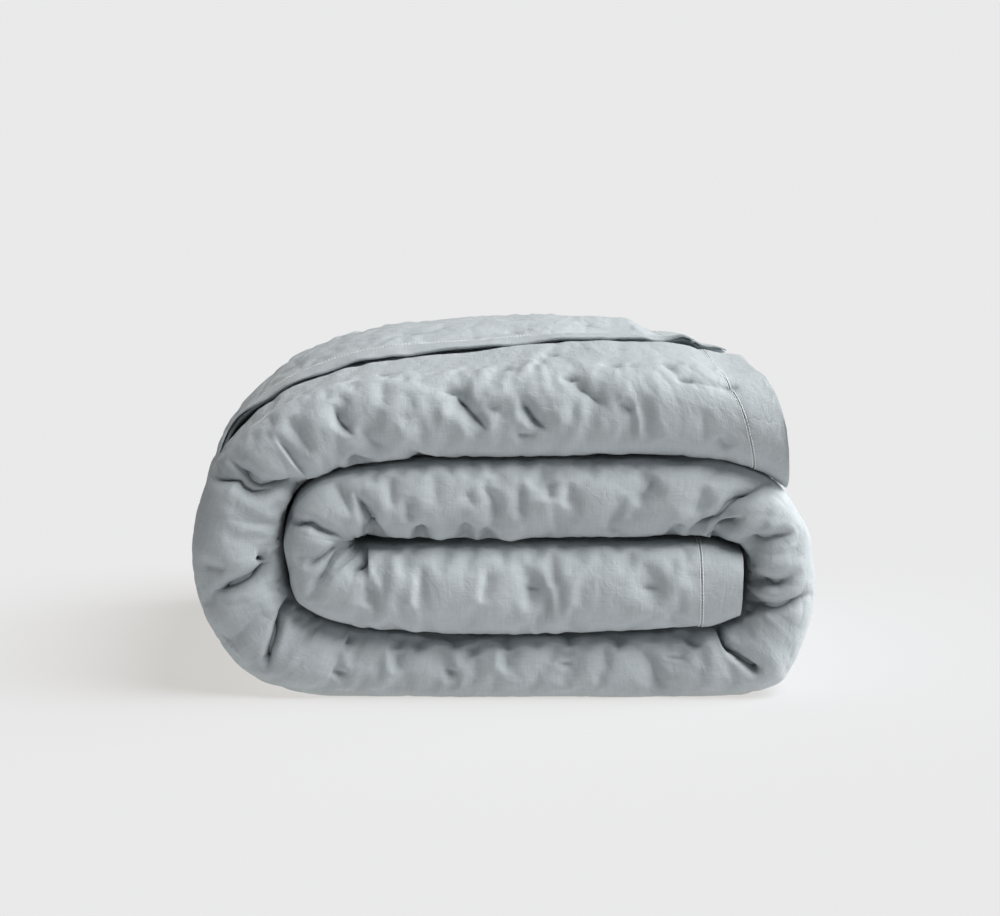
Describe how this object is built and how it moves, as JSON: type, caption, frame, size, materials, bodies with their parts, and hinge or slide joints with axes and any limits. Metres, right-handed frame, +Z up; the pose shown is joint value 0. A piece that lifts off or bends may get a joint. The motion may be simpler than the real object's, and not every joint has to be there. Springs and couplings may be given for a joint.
{
  "type": "folded quilt",
  "caption": "Puffy tacked linen quilt with a flat hemmed border, folded lengthwise and rolled into a flattened coil that rests on its side.",
  "frame": {"origin": "middle of the outer box, on the surface the quilt rests on", "axes": "+X along the flat coil, to the right when facing its rounded front fold; +Y from the front fold to the back folds; +Z up"},
  "size_m": [0.5784, 0.4378, 0.3221],
  "materials": {
    "quilt": "stonewashed matt linen"
  },
  "bodies": {
    "root": {"quilt": "quilt"}
  },
  "joints": []
}
